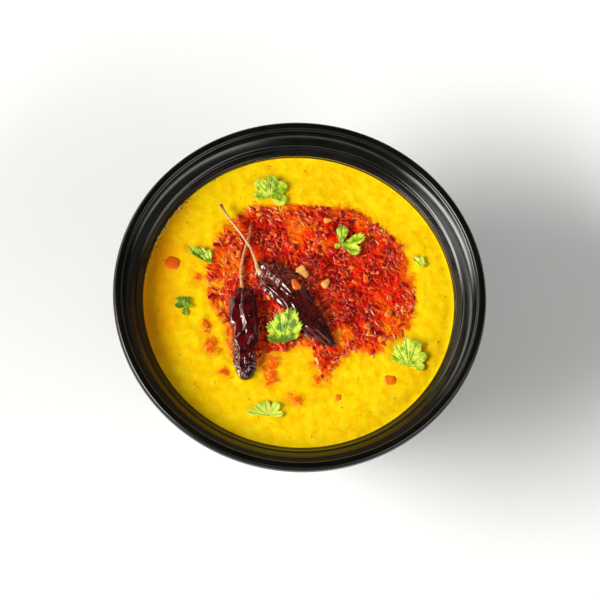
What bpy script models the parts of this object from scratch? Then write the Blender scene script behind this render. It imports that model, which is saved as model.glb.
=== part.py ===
"""Dal in a black glazed bowl, with two dried chillies and coriander leaves on it.

Blender 4.5, metres, +Z up. The origin is the centre of the foot ring's
underside. The leaves and chillies are placed as seen by a person sitting at -Y.
"""

import math

import bmesh
import bpy
from mathutils import Matrix, Vector

MM = 0.001

# Driving dimensions of the bowl
RIM_RADIUS = 80 * MM
BOWL_HEIGHT = 60 * MM
LIP_HALF_WIDTH = 2.0 * MM
LIP_SKIRT = 4.2 * MM
LEDGE_RADIUS = 70.0 * MM
LEDGE_DROP = 6.85 * MM
BAND_RADIUS = 72.0 * MM
BAND_DROP = 5.8 * MM
FLANGE_STEPS = ((2.2 * MM, 1.4 * MM), (4.5 * MM, 4.2 * MM), (6.2 * MM, 8.0 * MM))
FOOT_RADIUS = 36 * MM
FOOT_WIDTH = 4.0 * MM
FOOT_HEIGHT = 5.5 * MM
FOOT_RECESS = 3.5 * MM
BASE_THICKNESS = 6.5 * MM
WALL_THICKNESS = 5.5 * MM

# Driving dimensions of the food
DAL_DROP = 10.3 * MM
DAL_RADIUS = 67.3 * MM
MENISCUS = 0.5 * MM
SPICE_HEAP = 0.5 * MM
SPICE_CENTRE = (4 * MM, 8 * MM)
SPICE_RADIUS = 46 * MM
POD_FLATNESS = 0.74
POD_HEIGHT = 0.6 * MM
CREASE_DEPTH = 0.07
CREASE_LENGTH = 6.5 * MM
STEM_RADIUS = 0.8 * MM
CAP_SWELL = 2.1
LEAF_THICKNESS = 0.5 * MM
LEAF_STEP = 6
LOBE_ROOT = 0.45

GAP = 0.3 * MM
TURN_STEPS = 56
DAL_LEVEL = BOWL_HEIGHT - DAL_DROP
FLOOR_LEVEL = FOOT_RECESS + BASE_THICKNESS

# Each chilli: the pod's middle line as (x, y, radius), from its shoulder to its tip,
# then the stem's line as (x, y, height above the dal), all in millimetres.
CHILLIES = {
    "chilli_1": (
        ((-24.6, -0.8, 3.4), (-24.2, -3.4, 5.2), (-23.4, -7.4, 6.0), (-22.5, -11.6, 6.2),
         (-21.5, -16.0, 6.1), (-20.7, -20.4, 5.8), (-20.0, -25.2, 5.3), (-19.6, -29.4, 4.7),
         (-19.3, -33.0, 4.2), (-18.9, -36.0, 3.6), (-18.5, -38.6, 2.2)),
        ((-24.8, -2.0, 0.9), (-25.0, 0.8, 1.4), (-25.9, 4.6, 1.6), (-26.6, 9.0, 1.6),
         (-26.5, 15.0, 1.5), (-26.0, 20.0, 1.4), (-25.3, 25.0, 1.7), (-24.6, 30.6, 2.4)),
    ),
    "chilli_2": (
        ((-18.4, 10.4, 3.2), (-16.2, 10.0, 5.2), (-13.0, 8.4, 6.5), (-9.0, 5.6, 7.0),
         (-4.8, 2.0, 7.2), (-0.6, -2.2, 7.5), (3.4, -6.8, 7.1), (7.2, -11.0, 6.0),
         (10.6, -14.2, 4.6), (13.8, -17.0, 3.1), (16.8, -19.0, 1.5)),
        ((-17.6, 9.0, 1.2), (-19.6, 11.0, 2.0), (-21.2, 14.6, 2.9), (-23.6, 19.0, 3.6),
         (-26.8, 23.0, 3.9), (-30.4, 27.2, 3.6), (-35.4, 32.6, 3.2), (-39.3, 38.0, 3.0)),
    ),
}

# Each leaf: where its stalk joins, its lobes as (direction in degrees, length in
# millimetres, half-width in degrees), and how steeply and which way it rises.
LEAVES = {
    "leaf_1": ((-18.5, 45.5), ((-6, 8.1, 34), (53, 10.1, 30), (90, 10.6, 22), (131, 10.2, 30),
                               (181, 7.5, 24)), 4, 90),
    "leaf_2": ((15.0, 27.1), ((91, 9.6, 26), (27, 11.7, 20), (-15, 9.4, 26), (198, 3.0, 40)), 5, 20),
    "leaf_3": ((-39.9, 10.5), ((149, 12.7, 14), (129, 9.8, 14), (108, 7.1, 18)), 4, 150),
    "leaf_4": ((-48.7, -10.4), ((134, 5.2, 34), (78, 4.9, 30), (24, 3.5, 26), (-70, 4.2, 34),
                                (181, 4.3, 26)), 3, 80),
    "leaf_5": ((-4.6, -21.4), ((163, 7.4, 24), (129, 11.2, 24), (102, 13.8, 22), (79, 16.0, 22),
                               (57, 12.6, 20), (39, 8.7, 20)), 15, 62),
    "leaf_6": ((50.2, -24.4), ((152, 9.3, 22), (128, 11.5, 18), (102, 13.2, 16), (78, 12.6, 20),
                               (45, 9.8, 24), (6, 7.2, 24)), 5, 95),
    "leaf_7": ((-6.4, -54.3), ((178, 9.8, 12), (150, 7.6, 22), (112, 6.9, 24), (61, 7.2, 26),
                               (15, 6.4, 22)), 4, 90),
    "leaf_8": ((52.0, 21.9), ((142, 6.6, 18), (114, 5.4, 22), (76, 2.8, 30)), 4, 130),
}

COLOURS = {
    "glaze": ((0.012, 0.013, 0.010), 0.12),
    "dal": ((0.86, 0.55, 0.02), 0.35),
    "chilli": ((0.10, 0.010, 0.008), 0.28),
    "coriander": ((0.30, 0.48, 0.06), 0.45),
}


def clear_scene():
    for item in list(bpy.data.objects):
        bpy.data.objects.remove(item, do_unlink=True)


def new_collection(name):
    collection = bpy.data.collections.new(name)
    bpy.context.scene.collection.children.link(collection)
    return collection


def new_material(slot, node):
    colour, roughness = COLOURS[slot]
    material = bpy.data.materials.new(f"{slot}_{node}")
    material.use_nodes = True
    shader = material.node_tree.nodes["Principled BSDF"]
    shader.inputs["Base Color"].default_value = (*colour, 1.0)
    shader.inputs["Roughness"].default_value = roughness
    shader.inputs["Metallic"].default_value = 0.0
    return material


def bezier(start, pull_start, pull_end, end, count):
    """Points along a cubic curve, without its first point."""
    points = []
    for step in range(1, count + 1):
        t = step / count
        u = 1 - t
        weights = (u * u * u, 3 * u * u * t, 3 * u * t * t, t * t * t)
        corners = (start, pull_start, pull_end, end)
        points.append(tuple(sum(w * p[k] for w, p in zip(weights, corners)) for k in (0, 1)))
    return points


def arc(centre, radius, start_angle, end_angle, count):
    """Points along a round, with both ends, in the profile's plane."""
    points = []
    for step in range(count):
        angle = math.radians(start_angle + (end_angle - start_angle) * step / (count - 1))
        points.append((centre[0] + radius * math.cos(angle), centre[1] + radius * math.sin(angle)))
    return points


def offset_inward(points, distance):
    """A profile that rises from the axis, moved towards the inside of the bowl, or outwards."""
    moved = [(0.0, points[0][1] + distance)]
    for before, here, after in zip(points, points[1:], points[2:] + [points[-1]]):
        along = Vector((after[0] - before[0], after[1] - before[1])).normalized()
        moved.append((here[0] - along.y * distance, here[1] + along.x * distance))
    return moved


def inner_wall():
    """The inside of the bowl, from the middle of its floor up to the dal's edge."""
    floor_centre = (0.0, FLOOR_LEVEL)
    floor_pull = (0.70 * DAL_RADIUS, FLOOR_LEVEL)
    wall_pull = (0.95 * DAL_RADIUS, FLOOR_LEVEL + 0.36 * (DAL_LEVEL - FLOOR_LEVEL))
    return [floor_centre] + bezier(floor_centre, floor_pull, wall_pull, (DAL_RADIUS, DAL_LEVEL), 8)


def rim():
    """The ledge above the dal, its hollow band, and the round lip with its skirt."""
    ledge = (LEDGE_RADIUS, BOWL_HEIGHT - LEDGE_DROP)
    shoulder = (BAND_RADIUS, BOWL_HEIGHT - BAND_DROP)
    lip_centre = (RIM_RADIUS - LIP_HALF_WIDTH, BOWL_HEIGHT - LIP_HALF_WIDTH)
    lip = arc(lip_centre, LIP_HALF_WIDTH, 160, 0, 8)
    band_pull = (shoulder[0] + 1.6 * MM, shoulder[1] + 1.2 * MM)
    lip_pull = (lip[0][0] - 0.5 * MM, lip[0][1] - 2.2 * MM)
    band = bezier(shoulder, band_pull, lip_pull, lip[0], 5)
    skirt = (RIM_RADIUS - 0.1 * MM, BOWL_HEIGHT - LIP_SKIRT)
    return [ledge, shoulder] + band + lip[1:] + [skirt]


def outer_wall():
    """The outside of the bowl: under the rim's flange, then one wall's thickness off the inside."""
    skirt_foot = BOWL_HEIGHT - LIP_SKIRT
    under_rim = [(RIM_RADIUS - inset, skirt_foot - drop) for inset, drop in FLANGE_STEPS]
    wall = offset_inward(inner_wall(), -WALL_THICKNESS)[:-1]
    below = [point for point in wall if point[0] > FOOT_RADIUS + 5 * MM]
    waist = (FOOT_RADIUS + 2.6 * MM, FOOT_HEIGHT + 0.5 * MM)
    return under_rim + below[::-1] + [waist]


def foot():
    """The foot ring, its flat face on the table, and the recess inside it."""
    edge = 0.5 * MM
    inside = FOOT_RADIUS - FOOT_WIDTH
    return [
        (FOOT_RADIUS + 0.9 * MM, FOOT_HEIGHT - 0.6 * MM),
        (FOOT_RADIUS + 0.1 * MM, FOOT_HEIGHT - 2.0 * MM),
        (FOOT_RADIUS, edge),
        (FOOT_RADIUS - edge, 0.0),
        (inside + edge, 0.0),
        (inside, edge),
        (inside - 1.0 * MM, FOOT_RECESS),
        (0.0, FOOT_RECESS),
    ]


def dal_profile():
    """The dal's section: its top from the axis outwards, then down along the bowl."""
    wall = offset_inward(inner_wall(), GAP)
    edge = (DAL_RADIUS + MENISCUS - GAP, DAL_LEVEL + MENISCUS)
    rings = (0.0, 0.16, 0.32, 0.48, 0.64, 0.78, 0.89, 0.96)
    top = [(edge[0] * share, DAL_LEVEL) for share in rings]
    return top + [edge] + wall[::-1]


def surface_swell(x, y):
    """How far the dal stands above its level: slow waves, and the heap of fried spices."""
    reach = math.hypot(x, y) / DAL_RADIUS
    calm_edge = max(0.0, 1 - reach ** 4)
    waves = 0.16 * MM * (math.cos(x / (8 * MM)) + math.cos(y / (7 * MM) + x / (19 * MM)))
    across = math.hypot(x - SPICE_CENTRE[0], y - SPICE_CENTRE[1]) / SPICE_RADIUS
    heap = SPICE_HEAP * max(0.0, 1 - across * across)
    return calm_edge * (waves + heap)


def place(mesh, name, collection):
    item = bpy.data.objects.new(name, mesh)
    collection.objects.link(item)
    return item


def turned(name, profile, collection):
    """A closed solid turned from a profile that starts and ends on the axis."""
    mesh = bpy.data.meshes.new(name)
    vertices = [(radius, 0.0, height) for radius, height in profile]
    mesh.from_pydata(vertices, [(k, k + 1) for k in range(len(vertices) - 1)], [])
    item = place(mesh, name, collection)
    screw = item.modifiers.new("turn", "SCREW")
    screw.steps = TURN_STEPS
    screw.render_steps = TURN_STEPS
    screw.use_merge_vertices = True
    screw.merge_threshold = 0.00001
    screw.use_smooth_shade = True
    return item


def made_mesh(item):
    """The object's evaluated shape as a plain mesh with its caps welded."""
    bpy.context.view_layer.update()
    evaluated = item.evaluated_get(bpy.context.evaluated_depsgraph_get())
    mesh = bpy.data.meshes.new_from_object(evaluated)
    mesh.transform(item.matrix_world)
    welded = bmesh.new()
    welded.from_mesh(mesh)
    bmesh.ops.remove_doubles(welded, verts=welded.verts, dist=0.00001)
    bmesh.ops.recalc_face_normals(welded, faces=welded.faces)
    welded.to_mesh(mesh)
    welded.free()
    return mesh


def tapered_tube(name, points, radii, side_resolution, collection):
    """A capped tube along the points, as thick at each one as its radius."""
    curve = bpy.data.curves.new(name, "CURVE")
    curve.dimensions = "3D"
    curve.bevel_depth = 1.0
    curve.bevel_resolution = side_resolution
    curve.use_fill_caps = True
    spline = curve.splines.new("POLY")
    spline.points.add(len(points) - 1)
    for control, point, radius in zip(spline.points, points, radii):
        control.co = (*point, 1.0)
        control.radius = radius
    item = place(curve, name, collection)
    mesh = made_mesh(item)
    bpy.data.objects.remove(item, do_unlink=True)
    return mesh


def smooth_line(points, per_span):
    """More points on the smooth curve through the given ones, all their values together."""
    fine = []
    for k in range(len(points) - 1):
        before = points[max(k - 1, 0)]
        start = points[k]
        end = points[k + 1]
        after = points[min(k + 2, len(points) - 1)]
        for step in range(per_span):
            t = step / per_span
            weights = (
                -0.5 * t + t * t - 0.5 * t ** 3,
                1 - 2.5 * t * t + 1.5 * t ** 3,
                0.5 * t + 2 * t * t - 1.5 * t ** 3,
                -0.5 * t * t + 0.5 * t ** 3,
            )
            corners = (before, start, end, after)
            values = zip(*corners)
            fine.append(tuple(sum(w * v for w, v in zip(weights, value)) for value in values))
    fine.append(tuple(points[-1]))
    return fine


def pod_mesh(name, line, extra, collection):
    """A dried pod: a flattened tube, creased along its length unless it is a cutter."""
    fine = smooth_line(line, 2)
    centre_height = DAL_LEVEL + POD_HEIGHT
    points = [(x * MM, y * MM, centre_height) for x, y, _ in fine]
    radii = [radius * MM + extra for _, _, radius in fine]
    mesh = tapered_tube(name, points, radii, 6, collection)
    creased = extra == 0.0
    for vertex in mesh.vertices:
        nearest = min(points, key=lambda point: (Vector(point) - vertex.co).length)
        out = vertex.co - Vector(nearest)
        along = vertex.co.y / CREASE_LENGTH
        turn = math.atan2(out.z, out.x)
        crease = 1.0
        if creased:
            ripple = math.sin(4 * turn + 1.7 * along) * math.cos(2.3 * along + turn)
            crease = 1 - CREASE_DEPTH + CREASE_DEPTH * ripple
        vertex.co = Vector(nearest) + out * crease
        vertex.co.z = centre_height + (vertex.co.z - centre_height) * POD_FLATNESS
    return mesh


def stem_mesh(name, line, extra, collection):
    """A stem with the small cap it widens into where it joins the pod."""
    fine = smooth_line(line, 2)
    points = [(x * MM, y * MM, DAL_LEVEL + height * MM) for x, y, height in fine]
    radii = [STEM_RADIUS * (1 + CAP_SWELL * math.exp(-0.9 * k)) + extra for k in range(len(points))]
    return tapered_tube(name, points, radii, 2, collection)


def add_boolean(item, operand, operation):
    modifier = item.modifiers.new(operation.lower(), "BOOLEAN")
    modifier.operation = operation
    modifier.solver = "EXACT"
    modifier.object = operand
    operand.hide_render = True
    operand.display_type = "WIRE"


def make_chilli(name, food, cutters):
    """One dried chilli, pod and stem in one piece; returns the hollows it presses in the dal."""
    pod_line, stem_line = CHILLIES[name]
    chilli = place(pod_mesh(name, pod_line, 0.0, cutters), name, food)
    chilli.data.shade_smooth()
    stem = place(stem_mesh(f"{name}_stem", stem_line, 0.0, cutters), f"{name}_stem", cutters)
    add_boolean(chilli, stem, "UNION")
    chilli.data.materials.append(new_material("chilli", name))
    pod_hollow = pod_mesh(f"{name}_pod_hollow", pod_line, 1.6 * GAP, cutters)
    cap_hollow = stem_mesh(f"{name}_cap_hollow", stem_line[:3], 1.3 * GAP, cutters)
    return [place(mesh, mesh.name, cutters) for mesh in (pod_hollow, cap_hollow)]


def lobe_reach(angle, lobes):
    """How far the leaf reaches in one direction: its longest lobe there, or the web between."""
    reach = 0.0
    for direction, length, half_width in lobes:
        turn = (angle - direction + 180) % 360 - 180
        inside = max(0.0, 1 - (turn / half_width) ** 2)
        if inside > 0:
            reach = max(reach, length * (LOBE_ROOT + (1 - LOBE_ROOT) * math.sqrt(inside)))
    return reach


def leaf_outline(lobes):
    """The leaf's outline round its stalk, in its own plane, in metres."""
    low = min(direction - half for direction, _, half in lobes) + 2
    high = max(direction + half for direction, _, half in lobes) - 2
    points = [] if high - low > 300 else [(0.0, 0.0)]
    angle = low
    while angle < min(high, low + 354):
        reach = max(lobe_reach(angle, lobes), 1.2) * MM
        points.append((reach * math.cos(math.radians(angle)), reach * math.sin(math.radians(angle))))
        angle += LEAF_STEP
    return points


def pod_top(x, y):
    """The top of whichever pod lies under this point, or the dal's level."""
    top = DAL_LEVEL
    for pod_line, _ in CHILLIES.values():
        for px, py, radius in smooth_line(pod_line, 4):
            across = math.hypot(x - px * MM, y - py * MM)
            reach = radius * MM + GAP
            if across < reach:
                top = max(top, DAL_LEVEL + POD_HEIGHT + POD_FLATNESS * math.sqrt(reach ** 2 - across ** 2))
    return top


def make_leaf(name, food):
    """A flat lobed leaf, tilted, and lifted until it just clears what it lies on."""
    stalk, lobes, slope, rises_towards = LEAVES[name]
    outline = leaf_outline(lobes)
    curve = bpy.data.curves.new(name, "CURVE")
    curve.dimensions = "2D"
    curve.fill_mode = "BOTH"
    curve.extrude = LEAF_THICKNESS / 2
    spline = curve.splines.new("POLY")
    spline.use_cyclic_u = True
    spline.points.add(len(outline) - 1)
    for control, point in zip(spline.points, outline):
        control.co = (*point, 0.0, 1.0)
    heading = math.radians(rises_towards)
    hinge = Vector((math.sin(heading), -math.cos(heading), 0.0))
    tilt = Matrix.Rotation(math.radians(slope), 4, hinge)
    root = Vector((stalk[0] * MM, stalk[1] * MM, 0.0))
    lift = 0.0
    for point in outline:
        for share in (0.4, 0.7, 1.0):
            low = root + tilt @ Vector((point[0] * share, point[1] * share, -LEAF_THICKNESS / 2))
            under = max(DAL_LEVEL + surface_swell(low.x, low.y), pod_top(low.x, low.y))
            lift = max(lift, under + 1.5 * GAP - low.z)
    flat = place(curve, f"{name}_flat", food)
    flat.matrix_world = Matrix.Translation(root + Vector((0, 0, lift))) @ tilt
    mesh = made_mesh(flat)
    bpy.data.objects.remove(flat, do_unlink=True)
    leaf = place(mesh, name, food)
    mesh.materials.clear()
    mesh.materials.append(new_material("coriander", name))
    return leaf


def make_bowl(food):
    bowl = turned("bowl", inner_wall() + rim() + outer_wall() + foot(), food)
    bowl.data.materials.append(new_material("glaze", "bowl"))
    return bowl


def make_dal(food, hollows):
    """The dal fills the bowl to its level, and is pressed in under each chilli."""
    blank = turned("dal_blank", dal_profile(), food)
    mesh = made_mesh(blank)
    bpy.data.objects.remove(blank, do_unlink=True)
    for vertex in mesh.vertices:
        if abs(vertex.co.z - DAL_LEVEL) < 0.1 * MM:
            vertex.co.z += surface_swell(vertex.co.x, vertex.co.y)
    mesh.shade_smooth()
    dal = place(mesh, "dal", food)
    dal.data.materials.append(new_material("dal", "dal"))
    for hollow in hollows:
        add_boolean(dal, hollow, "DIFFERENCE")
    return dal


def main():
    clear_scene()
    food = new_collection("dal_in_bowl")
    cutters = new_collection("cutters")
    make_bowl(food)
    hollows = []
    for name in CHILLIES:
        hollows += make_chilli(name, food, cutters)
    make_dal(food, hollows)
    for name in LEAVES:
        make_leaf(name, food)


main()
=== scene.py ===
"""The looks of the bowl of dal: glaze, soup, red tempering oil, spices, chillies and leaves.

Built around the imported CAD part, in metres, +Z up, seen from -Y and above.
"""
import math
import random

import bpy
import numpy as np
from mathutils import Matrix, Vector, noise


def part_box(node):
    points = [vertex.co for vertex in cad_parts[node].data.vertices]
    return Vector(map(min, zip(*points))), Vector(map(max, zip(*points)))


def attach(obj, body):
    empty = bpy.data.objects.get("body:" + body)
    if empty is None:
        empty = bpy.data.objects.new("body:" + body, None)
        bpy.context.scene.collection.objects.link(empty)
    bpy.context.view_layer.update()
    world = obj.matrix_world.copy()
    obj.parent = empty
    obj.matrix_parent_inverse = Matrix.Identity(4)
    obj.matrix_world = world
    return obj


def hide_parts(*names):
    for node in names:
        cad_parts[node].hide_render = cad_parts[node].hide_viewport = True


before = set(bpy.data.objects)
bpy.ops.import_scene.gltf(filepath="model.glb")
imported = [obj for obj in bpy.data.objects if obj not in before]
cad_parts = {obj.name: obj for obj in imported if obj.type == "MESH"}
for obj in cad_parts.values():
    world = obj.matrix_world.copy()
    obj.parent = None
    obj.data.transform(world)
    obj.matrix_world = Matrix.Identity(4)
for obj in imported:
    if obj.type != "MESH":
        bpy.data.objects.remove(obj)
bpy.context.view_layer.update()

MM = 0.001
BOWL_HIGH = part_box("bowl")[1]

# Sizes shared with the CAD part
RIM_RADIUS = BOWL_HIGH.x
BOWL_HEIGHT = BOWL_HIGH.z
LIP_HALF_WIDTH = 2.0 * MM
FOOT_RADIUS = 36 * MM
FOOT_WIDTH = 4.0 * MM
FOOT_HEIGHT = 5.5 * MM
FOOT_RECESS = 3.5 * MM
FLOOR_LEVEL = 10 * MM
WALL_THICKNESS = 5.5 * MM
DAL_RADIUS = 67.3 * MM
DAL_LEVEL = BOWL_HEIGHT - 10.3 * MM
MENISCUS = 0.7 * MM
SPICE_CENTRE = (4 * MM, 8 * MM)
SPICE_RADIUS = 46 * MM
POD_HEIGHT = 0.6 * MM
POD_FLATNESS = 0.74
STEM_RADIUS = 0.60 * MM
LEAF_THICKNESS = 0.22 * MM
LEAF_RINGS = 12
RIDGE_MIDDLE = 0.62
THIN_OIL_SHARE = 0.35

# The red oil's outline on the dal, in millimetres, counter-clockwise from the right
OIL_OUTLINE = (
    (49.5, 2), (48.6, 12), (44.5, 22), (40, 32.5), (33, 37.5), (24.5, 42), (16, 45.5), (5, 44.5),
    (-6, 43.5), (-16, 41.5), (-26, 40.5), (-32, 34), (-38, 26), (-40.5, 17), (-42, 9), (-40.5, 0),
    (-36.5, -8), (-31, -15), (-27.5, -24), (-23, -32), (-16.5, -35.5), (-12, -28), (-5, -25.5),
    (1.5, -22.5), (7.5, -22), (10.5, -30), (14.5, -36), (18.5, -31), (21, -24.5), (27, -20.5),
    (34, -21.5), (39, -15.5), (45, -11.5), (48.6, -6),
)
# Smooth pools where few spices lie, and stains of oil outside the outline: x, y, radius
POOLS = ((-15, -3, 6.5), (21, 34, 5), (36, 9, 8), (42, 15, 5), (-4, 25, 5), (-30, -20, 4), (14, -30, 4))
STAINS = ((-34.5, -26.5, 3.4), (-38.7, -17.4, 2.4), (4.1, -46, 2.2), (-8, -37, 3.6), (-44, 4, 2.4),
    (-9.5, -31, 4.0), (14.0, -32.5, 4.0), (-27.5, -38, 1.8))
# Patches where the oil is thin and the dal shows through it
THIN_OIL = ((-32, 12, 8), (-36, 1, 5), (-31, 27, 5), (-5, 34, 5), (21, -15, 6), (4, -18, 5), (7, 25, 4),
    (-33, -9, 4), (40, -8, 4))
# Patches where it is deepest and darkest; the one at (-11, 16), above the second chilli, is a painted
# shadow of its pod
DEEP_OIL_AND_POD_SHADOW = ((-16, 0, 9), (-11, 16, 8), (12, 14, 11), (29, 15, 8), (22, 1, 11), (11, 39, 7), (-17, 27, 9),
    (38, 26, 6), (24, -9, 5))

# Each chilli, in millimetres: its pod's middle line as (x, y, radius), and its stem's as (x, y,
# height above the dal)
PODS = {
    "chilli_1": ((-24.6, -0.8, 3.4), (-24.2, -3.4, 5.2), (-23.4, -7.4, 6), (-22.5, -11.6, 6.2),
        (-21.5, -16, 6.1), (-20.7, -20.4, 5.8), (-20, -25.2, 5.3), (-19.6, -29.4, 4.9),
        (-19.3, -33, 4.5), (-18.9, -35.6, 4.1), (-18.7, -37.4, 3.3)),
    "chilli_2": ((-18.4, 10.4, 3.2), (-16.2, 10, 5.2), (-13, 8.4, 6.5), (-9, 5.6, 7),
        (-4.8, 2, 7.2), (-0.6, -2.2, 7.5), (3.4, -6.8, 7.1), (7.2, -11, 6),
        (10.6, -14.2, 4.6), (13.8, -17, 3.1), (16.8, -19, 1.5)),
}
STEMS = {
    "chilli_1": ((-24.8, -2, 0.9), (-25, 0.8, 1.4), (-25.9, 4.6, 1.6), (-26.6, 9, 1.6),
        (-26.5, 15, 1.5), (-26, 20, 1.4), (-25.3, 25, 1.7), (-24.6, 30.6, 2.4)),
    "chilli_2": ((-17.6, 9, 1.2), (-19.6, 11, 2), (-21.2, 14.6, 2.9), (-23.6, 19, 3.6),
        (-26.8, 23, 3.9), (-30.4, 27.2, 3.6), (-35.4, 32.6, 3.2), (-39.3, 38, 3)),
}

# The larger bits of garlic: x, y and size in millimetres, direction in degrees, and paleness
GARLIC = ((0.2, 11.8, 2.2, -40, 0.80), (10.6, 8.6, 1.7, 60, 0.75), (-2.4, 4.4, 1.9, 120, 0.15),
    (8.0, 38.0, 1.2, 10, 0.6), (39.0, -1.5, 1.5, 75, 0.35), (30.5, -8.5, 1.2, 70, 0.3),
    (37.5, -13.5, 1.3, 20, 0.4))
# The bits of tomato: x, y and size in millimetres, and redness
TOMATO = ((-56.3, 8.8, 3.0, 0.7), (43.1, -31.6, 2.4, 0.4), (21.7, -42.4, 1.4, 0.2),
    (-38.7, -17.6, 1.5, 0.3))

# The sky's strength at the horizon and overhead; and each lamp: direction, half-width and
# half-height as sines, strength and colour
SKY = (0.36, 0.04)
LAMPS = (
    ((-0.88, -0.26, 0.51), 0.36, 0.12, 29.8, (1.0, 0.985, 0.96)),
    ((-0.84, 0.44, 0.20), 0.30, 0.10, 6.0, (1.0, 1.0, 0.97)),
    ((0.82, -0.38, 0.50), 0.46, 0.11, 7.5, (0.98, 1.0, 0.96)),
    ((-1.01, -0.41, 0.20), 0.50, 0.08, 4.5, (0.96, 1.0, 0.93)),
    ((0.0, -0.88, 0.62), 0.60, 0.09, 2.6, (0.97, 1.0, 0.93)),
)

# Each pod's noise seed, and where along it the cross folds start and end
FOLDS = {"chilli_1": (3.7, 0.42, 0.96), "chilli_2": (11.3, 0.02, 0.46)}
# Each pod's skin: its name, its darkest, warmest and worn colours, and the Ys between which it
# turns worn
SKINS = {
    "chilli_1": ("chilli_skin_dark", (0.005, 0.0006, 0.0008), (0.12, 0.002, 0.004),
                 (0.012, 0.0012, 0.0010), -24 * MM, -32 * MM),
    "chilli_2": ("chilli_skin_black", (0.003, 0.0010, 0.0010), (0.070, 0.003, 0.003),
                 (0.34, 0.065, 0.040), -2 * MM, 7 * MM),
}

# Each leaf, in millimetres and degrees: its stalk's end, lobes as (direction, length, half-width),
# its slope, the direction it rises in, how far it is cupped, and how pale it is
LEAVES = {
    "leaf_1": ((-18.5, 45.5), ((-6, 8.1, 34), (53, 10.1, 30), (90, 10.6, 22), (131, 10.2, 30),
        (181, 7.5, 24)), 4, 90, 0.9, 0.58),
    "leaf_2": ((15, 27.1), ((91, 9.6, 26), (27, 11.7, 20), (-15, 9.4, 26), (198, 3, 40)),
        5, 20, 1, 0.52),
    "leaf_3": ((-39.9, 10.5), ((149, 12.7, 14), (129, 9.8, 14), (108, 7.1, 18)), 4, 150, 1.2, 0.5),
    "leaf_4": ((-48.7, -10.4), ((134, 5.2, 34), (78, 4.9, 30), (24, 3.5, 26), (-70, 4.2, 34),
        (181, 4.3, 26)), 3, 80, 0.4, 0.1),
    "leaf_5": ((-4.6, -21.4), ((163, 7.4, 24), (129, 11.2, 24), (102, 13.8, 22), (79, 16, 22),
        (57, 12.6, 20), (39, 8.7, 20)), 15, 62, 0.9, 0.30),
    "leaf_6": ((50.2, -24.4), ((152, 9.3, 22), (128, 11.5, 18), (102, 13.2, 16), (78, 12.6, 20),
        (45, 9.8, 24), (6, 7.2, 24)), 5, 95, 1.1, 0.80),
    "leaf_7": ((-6.4, -54.3), ((178, 9.8, 12), (150, 7.6, 22), (112, 6.9, 24), (61, 7.2, 26),
        (15, 6.4, 22)), 4, 90, 1.3, 1.1),
    "leaf_8": ((52, 21.9), ((142, 6.6, 18), (114, 5.4, 22), (76, 2.8, 30)), 4, 130, 0.5, 0.7),
}


# ---- lines and surfaces

def around(radius, turn):
    """The X and Y at this radius and turn about the origin."""
    return radius * math.cos(turn), radius * math.sin(turn)


def circle(count):
    """The turns of this many points round a circle, in radians."""
    return [2 * math.pi * k / count for k in range(count)]


def smooth_line(points, per_span):
    """More points on the smooth curve through the given ones, all their values together."""
    fine = []
    for k in range(len(points) - 1):
        corners = (points[max(k - 1, 0)], points[k], points[k + 1], points[min(k + 2, len(points) - 1)])
        for step in range(per_span):
            t = step / per_span
            weights = (
                -0.5 * t + t * t - 0.5 * t ** 3,
                1 - 2.5 * t * t + 1.5 * t ** 3,
                0.5 * t + 2 * t * t - 1.5 * t ** 3,
                -0.5 * t * t + 0.5 * t ** 3,
            )
            fine.append(tuple(sum(w * v for w, v in zip(weights, value)) for value in zip(*corners)))
    fine.append(tuple(points[-1]))
    return fine


def bezier(start, pull_start, pull_end, end, count):
    """Points along a cubic curve, with both its ends."""
    points = []
    for step in range(count + 1):
        t = step / count
        u = 1 - t
        weights = (u * u * u, 3 * u * u * t, 3 * u * t * t, t * t * t)
        corners = (start, pull_start, pull_end, end)
        points.append(tuple(sum(w * p[k] for w, p in zip(weights, corners)) for k in (0, 1)))
    return points


def offset_line(points, distance):
    """A profile that rises from the axis, moved inwards, or outwards if distance is negative."""
    moved = [(0.0, points[0][1] + distance)]
    for before, here, after in zip(points, points[1:], points[2:] + [points[-1]]):
        along = Vector((after[0] - before[0], after[1] - before[1])).normalized()
        moved.append((here[0] - along.y * distance, here[1] + along.x * distance))
    return moved


def ridged(x, y, z):
    """Creased noise, 0 on its sharp valleys and up to about 1 between them."""
    return abs(noise.noise(Vector((x, y, z)))) * 2


def pod_distance(x, y):
    """How far a point is outside the nearest pod, in millimetres; negative under it."""
    return min(math.hypot(x - px, y - py) - radius
               for line in FINE_PODS.values() for px, py, radius in line)


FINE_PODS = {name: smooth_line(line, 3) for name, line in PODS.items()}


def distances(points, x, y):
    return np.hypot(points[:, 0] - x, points[:, 1] - y)


def oil_depth(points, stains=STAINS):
    """How far inside the oil's outline each point is, in millimetres; negative outside."""
    closed = [OIL_OUTLINE[-1], *OIL_OUTLINE, OIL_OUTLINE[0], OIL_OUTLINE[1]]
    outline = np.array(smooth_line(closed, 5))[5:-5]
    points = np.asarray(points, float)
    nearest = np.full(len(points), 1e9)
    inside = np.zeros(len(points), bool)
    for start, end in zip(outline[:-1], outline[1:]):
        along = end - start
        share = np.clip((points - start) @ along / max(along @ along, 1e-9), 0, 1)
        gap = np.hypot(*(points - start - share[:, None] * along).T)
        nearest = np.minimum(nearest, gap)
        crosses = (start[1] > points[:, 1]) != (end[1] > points[:, 1])
        rise = end[1] - start[1] if end[1] != start[1] else 1e-9
        inside ^= crosses & (points[:, 0] < start[0] + (points[:, 1] - start[1]) * along[0] / rise)
    depth = np.where(inside, nearest, -nearest)
    for x, y, radius in THIN_OIL:
        away = distances(points, x, y)
        depth = np.minimum(depth, 1.2 + 1.4 * np.maximum(0, away - 0.6 * radius))
    for x, y, radius in stains:
        stain = 0.9 * (radius - distances(points, x, y))
        depth = np.maximum(depth, np.minimum(stain, 1.4))
    return depth


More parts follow.
